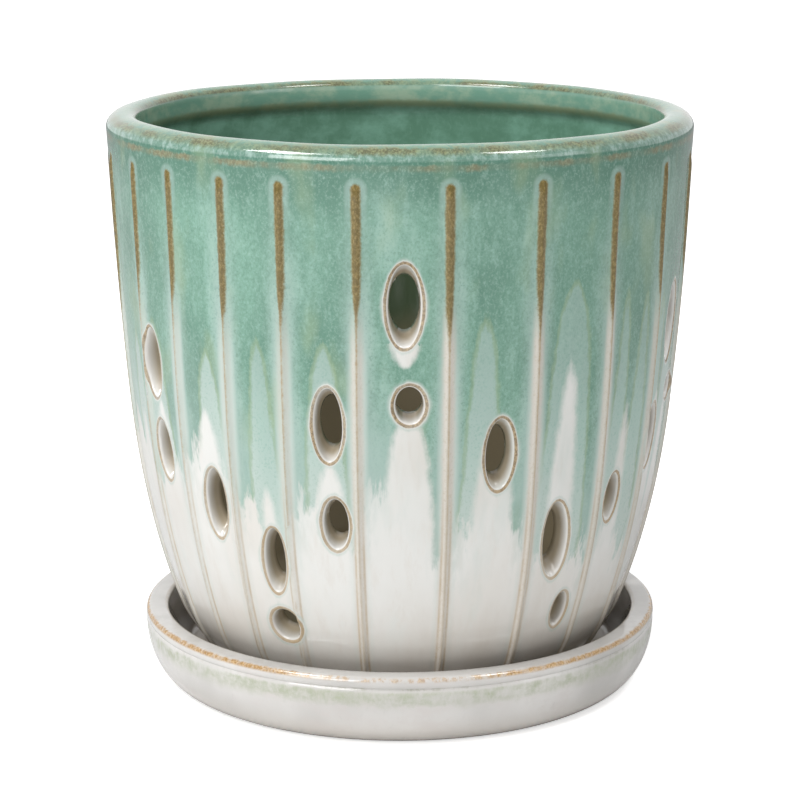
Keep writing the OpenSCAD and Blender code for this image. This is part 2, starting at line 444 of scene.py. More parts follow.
def slot_window(slot, theta, zs):
    """Rows and columns of the grid around a slot, just clear of its soft edge."""
    half_w, half_h = slot[2] / 2 + SLOT_MARGIN, slot[3] / 2 + SLOT_MARGIN
    r0 = np.where(zs <= slot[1] - half_h)[0].max()
    r1 = np.where(zs >= slot[1] + half_h)[0].min()
    turn = np.mod(theta[r0:r1 + 1] - slot[0] + 180, 360) - 180
    side = np.radians(turn) * wall_r(zs[r0:r1 + 1])[:, None]
    lean = abs(slot[4]) * half_h
    left = (side < -half_w - lean).all(0) & (side > -60).all(0)
    right = (side > half_w + lean).all(0) & (side < 60).all(0)
    n = theta.shape[1]
    mid = np.abs(side[len(side) // 2]).argmin()
    c0 = next(mid - k for k in range(n) if left[(mid - k) % n])
    c1 = next(mid + k for k in range(n) if right[(mid + k) % n])
    return r0, r1, c0, c1


def window_loop(r0, r1, c0, c1):
    """Rows and columns round the window, in order."""
    bottom = [(r0, c) for c in range(c0, c1)]
    right = [(r, c1) for r in range(r0, r1)]
    top = [(r1, c) for c in range(c1, c0, -1)]
    left = [(r, c0) for r in range(r1, r0, -1)]
    return np.array(bottom + right + top + left)


def slot_rings():
    """Outward distance from the tunnel's mouth, depth and share of the taper, from outside to inside."""
    rings = []
    for phi in (0, 25, 50, 70, 90):
        t = math.radians(phi)
        rings.append((EDGE_R * (1 - math.sin(t)), EDGE_R * (1 - math.cos(t)), 0.0))
    deep = WALL_T - INNER_EDGE_R
    for k in range(1, 5):
        f = k / 4
        rings.append((0.0, EDGE_R + f * (deep - EDGE_R), f))
    for phi in (30, 60, 90):
        t = math.radians(phi)
        rings.append((INNER_EDGE_R * (1 - math.cos(t)), deep + INNER_EDGE_R * math.sin(t), 1.0))
    return rings


class WallGrid:
    """Grid of points over the outer and the inner face of the wall, and the windows that slots cut in it."""

    def __init__(self, shell):
        steps = int(round((WALL_TOP - FOOT_EDGE_Z) / ROW_STEP))
        self.zs = np.linspace(FOOT_EDGE_Z, WALL_TOP, steps + 1)
        self.theta = column_angles(self.zs)
        self.columns = self.theta.shape[1]
        grid_z = np.repeat(self.zs[:, None], self.columns, 1)
        fields = glaze_fields(self.theta.ravel(), grid_z.ravel())
        points = shell.add(wall_point(self.theta, grid_z, 0.0), **fields)
        self.outer = points.reshape(self.theta.shape)
        fields["slot_mm"] = np.full(self.theta.size, FAR)
        points = shell.add(wall_point(self.theta, grid_z, WALL_T), inner=1.0, **fields)
        self.inner = points.reshape(self.theta.shape)
        self.low = np.where(self.zs >= INNER_LOW_Z)[0].min()
        self.high = np.where(self.zs <= INNER_TOP_Z)[0].max()
        self.windows = [slot_window(s, self.theta, self.zs) for s in SLOTS]

    def cut_cells(self):
        """True for each cell of the grid that lies in a slot's window."""
        cut = np.zeros((len(self.zs) - 1, self.columns), bool)
        for r0, r1, c0, c1 in self.windows:
            cells = np.ix_(range(r0, r1), [c % self.columns for c in range(c0, c1)])
            if cut[cells].any():
                raise ValueError("two slots meet in the grid")
            cut[cells] = True
        return cut

    def add_faces(self, shell):
        cut = self.cut_cells()
        for i in range(len(self.zs) - 1):
            shell.band(self.outer[i], self.outer[i + 1], cut[i])
        for i in range(self.low, self.high):
            shell.band(self.inner[i], self.inner[i + 1], cut[i])


class SlotHole:
    """One slot, filled in between the outer and the inner window of the grid."""

    def __init__(self, slot, grid, window):
        loop = window_loop(*window)
        self.slot = slot
        self.rows = loop[:, 0]
        self.cols = loop[:, 1] % grid.columns
        edge_z = grid.zs[self.rows]
        self.side, self.up = slot_local(slot, grid.theta[self.rows, self.cols], edge_z)
        guess = np.arctan2(self.up / slot[3], self.side / slot[2])
        even = guess[0] + 2 * math.pi * np.arange(len(loop)) / len(loop)
        drift = np.mod(guess - even + math.pi, 2 * math.pi) - math.pi
        self.turn = even + drift.mean() + 0.35 * (drift - drift.mean())

    def ellipse(self, grow, taper):
        """Sideways and upward places of a ring: the tunnel's ellipse, tapered and grown."""
        wide = (self.slot[2] / 2 - EDGE_R) * (1 - taper * TAPER_W) + grow
        high = (self.slot[3] / 2 - EDGE_R) * (1 - taper * TAPER_H) + grow
        return wide * np.cos(self.turn), high * np.sin(self.turn)

    def add_ring(self, shell, side, up, depth, inside, from_mouth=None):
        angle = slot_angle(self.slot, side, up)
        z = self.slot[1] + up
        fields = glaze_fields(angle, z)
        if from_mouth is not None:
            fields["slot_mm"] = from_mouth
        return shell.add(wall_point(angle, z, depth), inner=inside, **fields)

    def fill(self, shell, grid):
        last = grid.outer[self.rows, self.cols]
        mouth = self.ellipse(EDGE_R, 0)
        for f in (0.4, 0.75):
            side = self.side + (mouth[0] - self.side) * f
            up = self.up + (mouth[1] - self.up) * f
            ring = self.add_ring(shell, side, up, 0.0, 0.0)
            shell.band(last, ring)
            last = ring
        for grow, depth, taper in slot_rings():
            from_mouth = grow - depth if taper == 0 else -depth
            inside = float(depth > WALL_T - INSIDE_COLOUR_DEPTH)
            ring = self.add_ring(shell, *self.ellipse(grow, taper), depth, inside, from_mouth)
            shell.band(last, ring)
            last = ring
        back = self.ellipse(INNER_EDGE_R, 1)
        for f in (0.35, 0.7):
            side = back[0] + (self.side - back[0]) * f
            up = back[1] + (self.up - back[1]) * f
            ring = self.add_ring(shell, side, up, WALL_T, 1.0)
            shell.band(last, ring)
            last = ring
        shell.band(last, grid.inner[self.rows, self.cols])


def lip_profile():
    """Radius and height of the lip's rings, from the outside over the top to the wall inside."""
    lip_c = RIM_R - LIP_OUTER_W
    lip = arc(lip_c, WALL_TOP, LIP_OUTER_W, LIP_OUTER_H, 8, 90, 9)
    lip += arc(lip_c, RIM_Z - LIP_INNER_H, LIP_INNER_W, LIP_INNER_H, 105, 180, 6)
    lip_in = lip_c - LIP_INNER_W
    return lip + [(lip_in + out, RIM_Z - drop) for out, drop in LIP_BEAD]


def add_lip(shell, grid):
    theta = grid.theta[-1]
    wave = sum(rise * np.sin(np.radians(waves * theta + turn)) for rise, waves, turn in LIP_WAVES)
    last = grid.outer[-1]
    for k, (r, z) in enumerate(lip_profile()):
        inside = float(k >= LIP_INSIDE_FROM)
        height = z + wave * smooth(-5, -2, z - RIM_Z)
        ring = shell.add(polar(theta, r, height), inner=inside, lip=1.0, **PLAIN)
        shell.band(last, ring)
        last = ring
    shell.band(last, grid.inner[grid.high])


def add_bowl(shell, grid):
    """Rounded corner, floor and drain hole inside the pot. Gives the last ring."""
    fillet_r = float(wall_r(grid.zs[grid.low])) - WALL_T
    bowl = arc(fillet_r - FILLET + 0.2, FLOOR_Z + FILLET, FILLET, FILLET, -12, -90, 9)
    bowl += [(r, FLOOR_Z) for r in FLOOR_RINGS]
    bowl += arc(DRAIN_R + DRAIN_EDGE, FLOOR_Z - DRAIN_EDGE, DRAIN_EDGE, DRAIN_EDGE, 90, 180, 4)
    bowl += [(DRAIN_R, RECESS_Z + 1)]
    last = grid.inner[grid.low]
    for r, z in bowl:
        ring = shell.add(polar(grid.theta[0], r, z), inner=1.0, **PLAIN)
        shell.band(last, ring)
        last = ring
    return last


def base_profile(ring_in):
    """Radius and height of the rings under the pot, from the drain hole to the foot's outer edge."""
    base = [(DRAIN_R + 0.8, RECESS_Z)]
    base += [(r, RECESS_Z) for r in (*BASE_RINGS, ring_in - 2)]
    base += [(ring_in - 1, RECESS_Z - 0.6), (ring_in, FOOT_Z + 0.7), (ring_in + 0.8, FOOT_Z)]
    base += [(ring_in + 4, FOOT_Z), (ring_in + 8, FOOT_Z)]
    round_r = float(wall_r(FOOT_EDGE_Z)) - FOOT_ROUND
    return base + arc(round_r, FOOT_EDGE_Z, FOOT_ROUND, FOOT_ROUND, -80, -15, 5)


def add_base(shell, grid, last):
    """Underside with the foot ring and its water channels."""
    theta = grid.theta[0]
    ring_in = float(wall_r(FOOT_EDGE_Z)) - FOOT_ROUND - FOOT_RING_W
    step = 360 / CHANNELS
    turn = np.mod(theta + step / 2, step) - step / 2
    for r, z in base_profile(ring_in):
        side = np.radians(turn) * r
        groove = np.sqrt(np.maximum(0, CHANNEL_R ** 2 - side ** 2))
        height = np.maximum(z, FOOT_Z + groove) if r > ring_in - 0.5 else np.full(grid.columns, z)
        bare = 1.0 if FOOT_Z - 0.1 < z < FOOT_Z + 1 else 0.0
        ring = shell.add(polar(theta, r, height), bare=bare, **PLAIN_WHITE)
        shell.band(last, ring)
        last = ring
    shell.band(last, grid.outer[0])


def pot_mesh():
    shell = Shell()
    grid = WallGrid(shell)
    grid.add_faces(shell)
    for slot, window in zip(SLOTS, grid.windows):
        SlotHole(slot, grid, window).fill(shell, grid)
    add_lip(shell, grid)
    add_base(shell, grid, add_bowl(shell, grid))
    return shell


def saucer_underside():
    """Radius and height of the recess and the ring that the saucer stands on."""
    ring_in = SAUCER_BASE_R - SAUCER_RING_W
    profile = [(r, SAUCER_RECESS) for r in (SAUCER_MIDDLE_R, 30, 50, ring_in - 2)]
    profile += [(ring_in - 1, SAUCER_RECESS - 0.8), (ring_in, 0.4), (ring_in + 0.8, 0)]
    return profile + [(ring_in + 4.5, 0), (SAUCER_BASE_R - 0.5, 0)]


def saucer_outside():
    """Radius and height of the wall, the fine crease under the rim, and the rim's outer edge."""
    band_z = SAUCER_H - SAUCER_BAND
    bowl_h = band_z - 1
    profile = arc(SAUCER_BASE_R, bowl_h, SAUCER_R - SAUCER_BASE_R, bowl_h, -84, -4, 18)
    profile += [(SAUCER_R - 0.05, band_z - 0.45), (SAUCER_R - CREASE_D * 0.8, band_z - 0.15)]
    profile += [(SAUCER_R - CREASE_D, band_z), (SAUCER_R - CREASE_D * 0.6, band_z + 0.2)]
    profile += [(SAUCER_R, band_z + 0.6), (SAUCER_R + 0.05, band_z + 1.2)]
    edge_z = SAUCER_H - SAUCER_EDGE
    return profile + arc(SAUCER_R - SAUCER_EDGE, edge_z, SAUCER_EDGE, SAUCER_EDGE, 0, 90, 8)


def saucer_inside():
    """Radius and height of the rim's top and inner edge, the wall inside and the floor."""
    edge_r = SAUCER_R - SAUCER_RIM_W + SAUCER_IN_EDGE
    edge_z = SAUCER_H - SAUCER_IN_EDGE
    profile = [((SAUCER_R - SAUCER_EDGE + edge_r) / 2, SAUCER_H + 0.08)]
    profile += arc(edge_r, edge_z, SAUCER_IN_EDGE, SAUCER_IN_EDGE, 90, 190, 6)
    low = arc(SAUCER_FLOOR_R, SAUCER_FLOOR_Z + SAUCER_FILLET, SAUCER_FILLET, SAUCER_FILLET, -12, -90, 7)
    start = profile[-1]
    for f in (0.25, 0.5, 0.75):
        profile += [(start[0] + (low[0][0] - start[0]) * f, start[1] + (low[0][1] - start[1]) * f)]
    return profile + low + [(r, SAUCER_FLOOR_Z) for r in (66, 55, 40, 20, SAUCER_MIDDLE_R)]


def saucer_mesh():
    shell = Shell()
    theta = np.linspace(0, 360, SAUCER_COLUMNS, endpoint=False)
    t = np.radians(theta)
    wave = sum(rise * np.sin(waves * t + turn) for rise, waves, turn in SAUCER_WAVES)
    rings = []
    for r, z in saucer_underside() + saucer_outside() + saucer_inside():
        high = smooth(*SAUCER_WAVE_Z, z) * smooth(*SAUCER_WAVE_R, r)
        bare = 1.0 if z < SAUCER_BARE_Z else 0.0
        height = z + SAUCER_TOP_WAVE * wave * high * smooth(*SAUCER_TOP_Z, z)
        rings.append(shell.add(polar(theta, r + wave * high, height), bare=bare))
    for low, high in zip(rings, rings[1:]):
        shell.band(low, high)
    cap(shell, rings[0], SAUCER_RECESS)
    cap(shell, rings[-1], SAUCER_FLOOR_Z)
    return shell


def cap(shell, ring, z):
    """Closes the small hole in the middle of a turned shape with quads that meet in one point."""
    centre = shell.add([[0, 0, z]])[0]
    half = len(ring) // 2
    quads = [(ring[2 * k], ring[2 * k + 1], ring[(2 * k + 2) % len(ring)], centre) for k in range(half)]
    shell.faces.append(np.array(quads))


def face_outward(obj):
    bm = bmesh.new()
    bm.from_mesh(obj.data)
    bmesh.ops.recalc_face_normals(bm, faces=bm.faces)
    loose = [v for v in bm.verts if not v.link_faces]
    bmesh.ops.delete(bm, geom=loose, context="VERTS")
    print(obj.name, len(bm.faces), "faces; open edges:", sum(not e.is_manifold for e in bm.edges))
    bm.to_mesh(obj.data)
    bm.free()


class Nodes:
    """Short calls for a material's nodes. Values may be numbers or sockets."""

    def __init__(self, name):
        self.material = bpy.data.materials.new(name)
        self.material.use_nodes = True
        self.tree = self.material.node_tree
        self.tree.nodes.clear()

    def node(self, kind, **props):
        made = self.tree.nodes.new(kind)
        for key, value in props.items():
            setattr(made, key, value)
        return made

    def put(self, socket, value):
        if isinstance(value, bpy.types.NodeSocket):
            self.tree.links.new(value, socket)
        elif isinstance(value, tuple) and len(value) == 3 and socket.type == "RGBA":
            socket.default_value = (*value, 1)
        else:
            socket.default_value = value

    def math(self, op, a, b=0.0):
        made = self.node("ShaderNodeMath", operation=op)
        self.put(made.inputs[0], a)
        self.put(made.inputs[1], b)
        return made.outputs[0]

    def add(self, a, b):
        return self.math("ADD", a, b)

    def mul(self, a, b):
        return self.math("MULTIPLY", a, b)

    def step(self, value, low, high, out_low=0.0, out_high=1.0):
        """Smooth step of a value from out_low at low to out_high at high."""
        made = self.node("ShaderNodeMapRange", interpolation_type="SMOOTHSTEP")
        names = ("Value", "From Min", "From Max", "To Min", "To Max")
        for name, number in zip(names, (value, low, high, out_low, out_high)):
            self.put(made.inputs[name], number)
        return made.outputs["Result"]

    def stripe(self, value, rise_from, rise_to, fall_from, fall_to):
        """1 between rise_to and fall_from, fading to 0 on both sides."""
        return self.mul(self.step(value, rise_from, rise_to), self.step(value, fall_to, fall_from))

    def sway(self, noise, span):
        """A noise spread evenly round 0 over a span."""
        return self.mul(self.add(noise, -0.5), span)

    def mix(self, factor, a, b):
        made = self.node("ShaderNodeMix", data_type="RGBA")
        self.put(made.inputs[0], factor)
        self.put(made.inputs[6], a)
        self.put(made.inputs[7], b)
        return made.outputs[2]

    def field(self, name):
        return self.node("ShaderNodeAttribute", attribute_name=name).outputs["Fac"]

    def place(self):
        return self.node("ShaderNodeTexCoord").outputs["Object"]

    def stretch(self, scale):
        made = self.node("ShaderNodeMapping")
        self.put(made.inputs["Vector"], self.place())
        made.inputs["Scale"].default_value = scale
        return made.outputs["Vector"]

    def noise(self, size_mm, stretch=(1, 1, 1), detail=3.0, rough=0.55, seed=0.0):
        made = self.node("ShaderNodeTexNoise", noise_dimensions="4D")
        self.put(made.inputs["Vector"], self.stretch(stretch))
        self.put(made.inputs["W"], seed)
        self.put(made.inputs["Scale"], 1000.0 / size_mm)
        self.put(made.inputs["Detail"], detail)
        self.put(made.inputs["Roughness"], rough)
        return made.outputs["Fac"]

    def split(self):
        made = self.node("ShaderNodeSeparateXYZ")
        self.put(made.inputs[0], self.place())
        return made.outputs

    def bump(self, height, distance_mm, strength):
        made = self.node("ShaderNodeBump")
        self.put(made.inputs["Height"], height)
        made.inputs["Distance"].default_value = distance_mm * MM
        made.inputs["Strength"].default_value = strength
        return made.outputs["Normal"]

    def finish(self, colour, roughness, normal):
        shader = self.node("ShaderNodeBsdfPrincipled")
        self.put(shader.inputs["Base Color"], colour)
        self.put(shader.inputs["Roughness"], roughness)
        self.put(shader.inputs["Normal"], normal)
        shader.inputs["IOR"].default_value = GLAZE_IOR
        shader.inputs["Coat Weight"].default_value = COAT
        shader.inputs["Coat Roughness"].default_value = COAT_ROUGH
        return self.shown(shader)

    def shown(self, shader):
        out = self.node("ShaderNodeOutputMaterial")
        self.tree.links.new(shader.outputs[0], out.inputs[0])
        return self.material

    def gloss(self, g, colour, size_mm, stretch_z, seed, rough_range, bump_mm):
        """Glossy glaze with a soft uneven surface, rough where the clay is bare."""
        height = self.add(self.noise(size_mm, (1, 1, stretch_z), 2.0, 0.5, seed), self.mul(g.speck, 0.12))
        rough = self.add(self.step(g.speck, 0.3, 0.8, *rough_range), self.mul(self.field("bare"), BARE_ROUGH))
        return self.finish(colour, rough, self.bump(height, bump_mm, 0.6))


# Glaze colours
GREEN_DEEP = (0.072, 0.185, 0.130)
GREEN_MID = (0.175, 0.345, 0.262)
GREEN_PALE = (0.330, 0.500, 0.430)
GREEN_YELLOW = (0.290, 0.380, 0.215)
VEIL = (0.345, 0.465, 0.420)
MIST = (0.500, 0.575, 0.535)
WHITE = (0.720, 0.715, 0.690)
WARM = (0.610, 0.560, 0.500)
FOOT_GREY = (0.500, 0.455, 0.400)
BEIGE_BAND = (0.600, 0.555, 0.495)
BROWN = (0.130, 0.085, 0.012)
GOLD = (0.260, 0.180, 0.050)
TAN = (0.430, 0.320, 0.190)
RING_DARK = (0.150, 0.095, 0.035)
RING_LIGHT = (0.400, 0.290, 0.150)
# Painted shade: brown-grey that darkens the slots' tunnels deeper in
TUNNEL_SHADE = (0.400, 0.340, 0.250)
OLIVE_DARK = (0.085, 0.080, 0.030)
OLIVE_LIGHT = (0.210, 0.225, 0.105)
INSIDE = (0.105, 0.225, 0.155)
INSIDE_MID = (0.075, 0.105, 0.060)
INSIDE_LOW = (0.250, 0.205, 0.135)
BARE = (0.620, 0.540, 0.440)
SAGE = (0.400, 0.425, 0.320)
AMBER = (0.340, 0.190, 0.060)
SAND = (0.560, 0.380, 0.190)
SAUCER_WHITE = (0.640, 0.625, 0.605)
SAUCER_GREY = (0.510, 0.495, 0.475)
SAUCER_ROSE = (0.580, 0.540, 0.520)
# Painted shade: darker warm grey for the hollow inside the saucer's rim
HOLLOW_SHADE = (0.270, 0.235, 0.190)

# Gloss of both glazes
GLAZE_IOR = 1.5
COAT = 0.3
COAT_ROUGH = 0.06
BARE_ROUGH = 0.5

# Places where the pot's glaze changes, from the first value to the second: heights, or drops below the rim
DEEP_UNDER_LIP = (26.0, 9.0)
RIDGE_CAP_DROP = 13.2
BEIGE_STARTS = (158.0, 132.0)
BROWN_WIDENS = (138.0, 156.0)
BROWN_TURNS_TAN = (152.0, 132.0)
# Heights over which painted shade darkens the white towards the foot
FOOT_SHADE = (56.0, 14.0)
INSIDE_DARKENS = (172.0, 132.0)
INSIDE_PALES = (118.0, 88.0)
BEAD_BRIGHTENS = (9.5, 7.5)

# Places where the saucer's glaze changes, from the first value to the second: radii or heights
OUTER_FACE = (85.5, 87.5)
RIM_INNER_EDGE = (84.9, 84.3)
# Radii over which the painted shade of the saucer's hollow sets in
SAUCER_HOLLOW_SHADE = (84.0, 82.5)
SAUCER_FOOT = (13.0, 1.0)
SAUCER_FOOT_R = (77.0, 79.0)
AMBER_STRENGTHENS = (18.0, 44.0)


class Grain:
    """Noises shared by the paints of one glaze.

    In the paints, numbers beside a noise are parts of its range from 0 to 1, and numbers beside a
    height, a drop or a distance are millimetres.
    """

    def __init__(self, n, seed):
        self.fine = n.noise(0.7, (1, 1, 0.8), 3.0, 0.7, seed)
        self.speck = n.noise(2.2, (1, 1, 0.55), 4.0, 0.7, seed + 1)
        self.streak = n.noise(3.2, (1, 1, 0.16), 4.0, 0.65, seed + 2)
        self.wash = n.noise(14.0, (1, 1, 0.28), 4.0, 0.6, seed + 3)
        self.broad = n.noise(40.0, (1, 1, 0.7), 3.0, 0.5, seed + 4)


def green_glaze(n, g, drop, x_mm):
    """Mottled green, deep under the lip and washed paler in soft columns, and deepened towards the right by
    painted shade.
    """
    green = n.mix(n.step(g.broad, 0.34, 0.64), GREEN_DEEP, GREEN_MID)
    green = n.mix(n.step(g.wash, 0.36, 0.66, 0.2, 0.95), green, GREEN_MID)
    green = n.mix(n.step(g.wash, 0.48, 0.70, 0.0, 0.7), green, GREEN_PALE)
    # Painted shade: the green deepens towards the right side, away from the key light
    green = n.mix(n.step(x_mm, 0.0, 95.0, 0.0, 0.42), green, GREEN_DEEP)
    ragged = n.add(drop, n.sway(g.wash, 16.0))
    green = n.mix(n.step(ragged, *DEEP_UNDER_LIP, 0.0, 0.85), green, GREEN_DEEP)
    aura = n.mul(n.step(n.field("ridge_mm"), 7.5, 2.0), n.step(drop, 14.0, 62.0, 0.0, 0.7))
    green = n.mix(n.mul(aura, n.step(g.wash, 0.3, 0.6, 0.35, 1.0)), green, VEIL)
    green = n.mix(n.step(g.speck, 0.50, 0.70, 0.0, 0.32), green, GREEN_PALE)
    green = n.mix(n.step(g.speck, 0.47, 0.30, 0.0, 0.30), green, GREEN_DEEP)
    green = n.mix(n.step(g.fine, 0.50, 0.66, 0.0, 0.34), green, GREEN_PALE)
    green = n.mix(n.step(g.fine, 0.49, 0.35, 0.0, 0.36), green, GREEN_DEEP)
    spots = n.step(n.noise(12.0, (1, 1, 0.4), 2.0, 0.5, 6.0), 0.54, 0.72)
    return n.mix(spots, green, n.mix(0.35, green, GREEN_YELLOW))


def white_glaze(n, g, z_mm):
    """White with warm grey washes, and painted shade that makes it warmer and darker towards the foot."""
    whites = n.mix(n.step(g.broad, 0.38, 0.68, 0.0, 0.5), WHITE, WARM)
    whites = n.mix(n.step(g.wash, 0.48, 0.72, 0.0, 0.35), whites, MIST)
    whites = n.mix(n.step(g.streak, 0.50, 0.72, 0.0, 0.25), whites, WARM)
    # Painted shade: warm grey that darkens the white low on the pot, towards the foot
    foot = n.add(z_mm, n.sway(g.wash, 40.0))
    return n.mix(n.step(foot, *FOOT_SHADE, 0.0, 0.75), whites, FOOT_GREY)


def veil_glaze(n, g, thin):
    """Pale green of the tongues, greyer where the glaze runs thin."""
    veil = n.mix(n.step(g.wash, 0.35, 0.65), VEIL, n.mix(0.5, VEIL, GREEN_PALE))
    veil = n.mix(n.mul(thin, 0.75), veil, MIST)
    return n.mix(n.step(g.fine, 0.49, 0.36, 0.0, 0.3), veil, GREEN_MID)


def tongue_paint(n, g, green, whites):
    """Pale and white tongues with a thin yellow-green edge, and green that drips out below."""
    ragged = n.add(n.sway(g.streak, 2.8), n.sway(g.speck, 2.6))
    pale = n.add(n.field("pale_mm"), ragged)
    white = n.add(n.field("white_mm"), ragged)
    end_mm = n.field("end_mm")
    end = n.add(end_mm, n.add(n.sway(g.streak, 46.0), n.sway(g.wash, 26.0)))
    thin = n.step(end_mm, -48.0, -4.0)
    fade = n.mix(n.mul(thin, n.step(g.wash, 0.3, 0.65, 0.35, 0.85)), green, VEIL)
    cover = n.step(end_mm, -80.0, -36.0, 0.55, 0.95)
    colour = n.mix(n.mul(n.step(pale, -0.5, 1.2), cover), fade, veil_glaze(n, g, thin))
    edge = n.stripe(pale, -1.2, -0.1, 0.1, 1.2)
    colour = n.mix(n.mul(edge, 0.4), colour, GREEN_YELLOW)
    colour = n.mix(n.step(end, -3.5, 5.0), colour, whites)
    beside = n.step(n.field("ridge_mm"), 8.0, 3.0, 0.1, 0.6)
    soft = n.mul(n.stripe(end, -1.0, 3.0, 2.0, 30.0), beside)
    colour = n.mix(n.mul(soft, n.step(g.streak, 0.40, 0.66, 0.0, 0.7)), colour, VEIL)
    return n.mix(n.mul(n.step(white, -1.0, 2.4), 0.95), colour, whites)


def ridge_band(n, g, colour, near, z_mm):
    """Misty sides and a beige band along the lower part of a ridge."""
    end_mm = n.field("end_mm")
    below = n.step(n.add(z_mm, n.sway(g.wash, 30.0)), *BEIGE_STARTS)
    above_end = n.mul(n.step(end_mm, -80.0, -25.0, 0.2, 0.8), n.step(end_mm, 14.0, -6.0))
    beside = n.mul(n.step(near, 4.2, 2.0), n.mul(below, above_end))
    colour = n.mix(beside, colour, MIST)
    band = n.mul(n.step(near, 2.9, 1.0), n.mul(below, n.field("beige")))
    specked = n.mix(n.step(g.fine, 0.50, 0.66, 0.0, 0.35), BEIGE_BAND, TAN)
    return n.mix(n.mul(band, 0.9), colour, specked)


def ridge_paint(n, g, colour, z_mm, drop):
    """Golden brown where the glaze breaks over a ridge, thinning to a tan line on a beige band."""
    ridge = n.field("ridge_mm")
    over = n.math("MAXIMUM", n.math("SUBTRACT", RIDGE_CAP_DROP, drop), 0.0)
    cap_mm = n.math("SQRT", n.add(n.mul(ridge, ridge), n.mul(over, over)))
    near = n.add(cap_mm, n.add(n.sway(g.speck, 0.9), n.sway(g.fine, 0.9)))
    arch = n.mul(n.step(near, 4.2, 2.6), n.step(drop, 30.0, 11.0, 0.1, 0.5))
    colour = n.mix(arch, colour, VEIL)
    colour = ridge_band(n, g, colour, near, z_mm)
    uneven_z = n.add(z_mm, n.sway(g.broad, 44.0))
    half = n.step(uneven_z, *BROWN_WIDENS, 0.32, 1.45)
    half = n.mul(half, n.step(drop, 26.0, 60.0, 1.12, 0.9))
    past = n.math("SUBTRACT", near, half)
    brown = n.mix(n.step(g.fine, 0.42, 0.66), BROWN, GOLD)
    brown = n.mix(n.step(past, -0.9, 0.3, 0.0, 0.7), brown, GOLD)
    brown = n.mix(n.step(uneven_z, *BROWN_TURNS_TAN, 0.0, 0.7), brown, TAN)
    core = n.mul(n.step(past, 0.45, -0.55), n.step(z_mm, 40.0, 150.0, 0.5, 0.95))
    colour = n.mix(core, colour, brown)
    sides = n.stripe(ridge, 0.8, 1.3, 1.5, 1.9)
    low = n.mul(n.step(z_mm, 100.0, 60.0), n.step(g.streak, 0.3, 0.6, 0.15, 0.6))
    return n.mix(n.mul(sides, low), colour, TAN)


def slot_paint(n, g, colour, whites, z_mm):
    """White glaze gathered round each slot, a thin white band outside the ring that is partly a painted
    highlight, a golden ring on its edge, and a white tunnel that painted shade darkens deeper in.
    """
    slot = n.field("slot_mm")
    jag = n.sway(g.speck, 1.2)
    halo = n.step(n.add(slot, n.mul(jag, 1.5)), 3.2, 1.7)
    pale = n.mix(0.35, VEIL, whites)
    colour = n.mix(n.mul(halo, n.step(g.streak, 0.25, 0.6, 0.4, 0.85)), colour, pale)
    # Partly white glaze and partly a painted highlight: a thin white band just outside each slot's ring
    colour = n.mix(n.step(n.add(slot, jag), 2.2, 1.6, 0.0, 0.75), colour, whites)
    # Painted shade: the tunnel's white turns brown-grey deeper into the wall
    tunnel = n.mix(n.step(slot, -0.6, -4.5), whites, TUNNEL_SHADE)
    colour = n.mix(n.step(slot, 0.5, 0.2), colour, tunnel)
    ring = n.mul(n.step(n.add(slot, n.mul(jag, 0.7)), 1.8, 1.3), n.step(slot, 0.0, 0.4))
    gold = n.mix(n.step(g.fine, 0.40, 0.62), RING_DARK, RING_LIGHT)
    gold = n.mix(n.step(z_mm, 120.0, 50.0, 0.1, 0.75), gold, TAN)
    return n.mix(n.mul(ring, n.step(g.wash, 0.3, 0.6, 0.6, 0.95)), colour, gold)


def lip_top(n, g):
    """Green on top of the lip, specked and yellowish in places."""
    deep = n.mix(0.5, GREEN_DEEP, GREEN_MID)
    light = n.mix(0.4, GREEN_MID, GREEN_YELLOW)
    golden = n.mix(0.5, GREEN_YELLOW, GOLD)
    top = n.mix(n.step(g.speck, 0.42, 0.60), deep, light)
    return n.mix(n.step(g.wash, 0.50, 0.66, 0.0, 0.6), top, golden)


def lip_paint(n, g, colour, drop):
    """Olive specks where the glaze thins over the lip's shoulders, and between them a pale veil that is
    partly pale glaze and partly a painted highlight.
    """
    outside = n.math("SUBTRACT", 1.0, n.field("inner"))
    lip = n.mul(n.field("lip"), outside)
    place = n.add(drop, n.sway(g.speck, 2.6))
    olive = n.mix(n.step(g.fine, 0.42, 0.62), OLIVE_DARK, OLIVE_LIGHT)
    colour = n.mix(n.mul(lip, n.step(drop, 3.2, 1.6)), colour, lip_top(n, g))
    # Partly pale glaze and partly a painted highlight: the pale veil on the lip's outer shoulder
    shoulder_pale_and_highlight = n.mul(n.stripe(drop, 1.4, 3.2, 5.4, 7.6), lip)
    colour = n.mix(n.mul(shoulder_pale_and_highlight, n.step(g.speck, 0.42, 0.64, 0.1, 0.6)), colour, VEIL)
    upper = n.mul(n.stripe(place, 0.2, 1.0, 1.6, 3.4), lip)
    colour = n.mix(n.mul(upper, n.step(g.wash, 0.36, 0.6, 0.35, 0.9)), colour, olive)
    under = n.mul(n.stripe(place, 5.2, 6.2, 6.8, 8.4), outside)
    fuzzy = n.mix(0.35, olive, TAN)
    return n.mix(n.mul(under, n.step(g.wash, 0.60, 0.36, 0.12, 0.8)), colour, fuzzy)


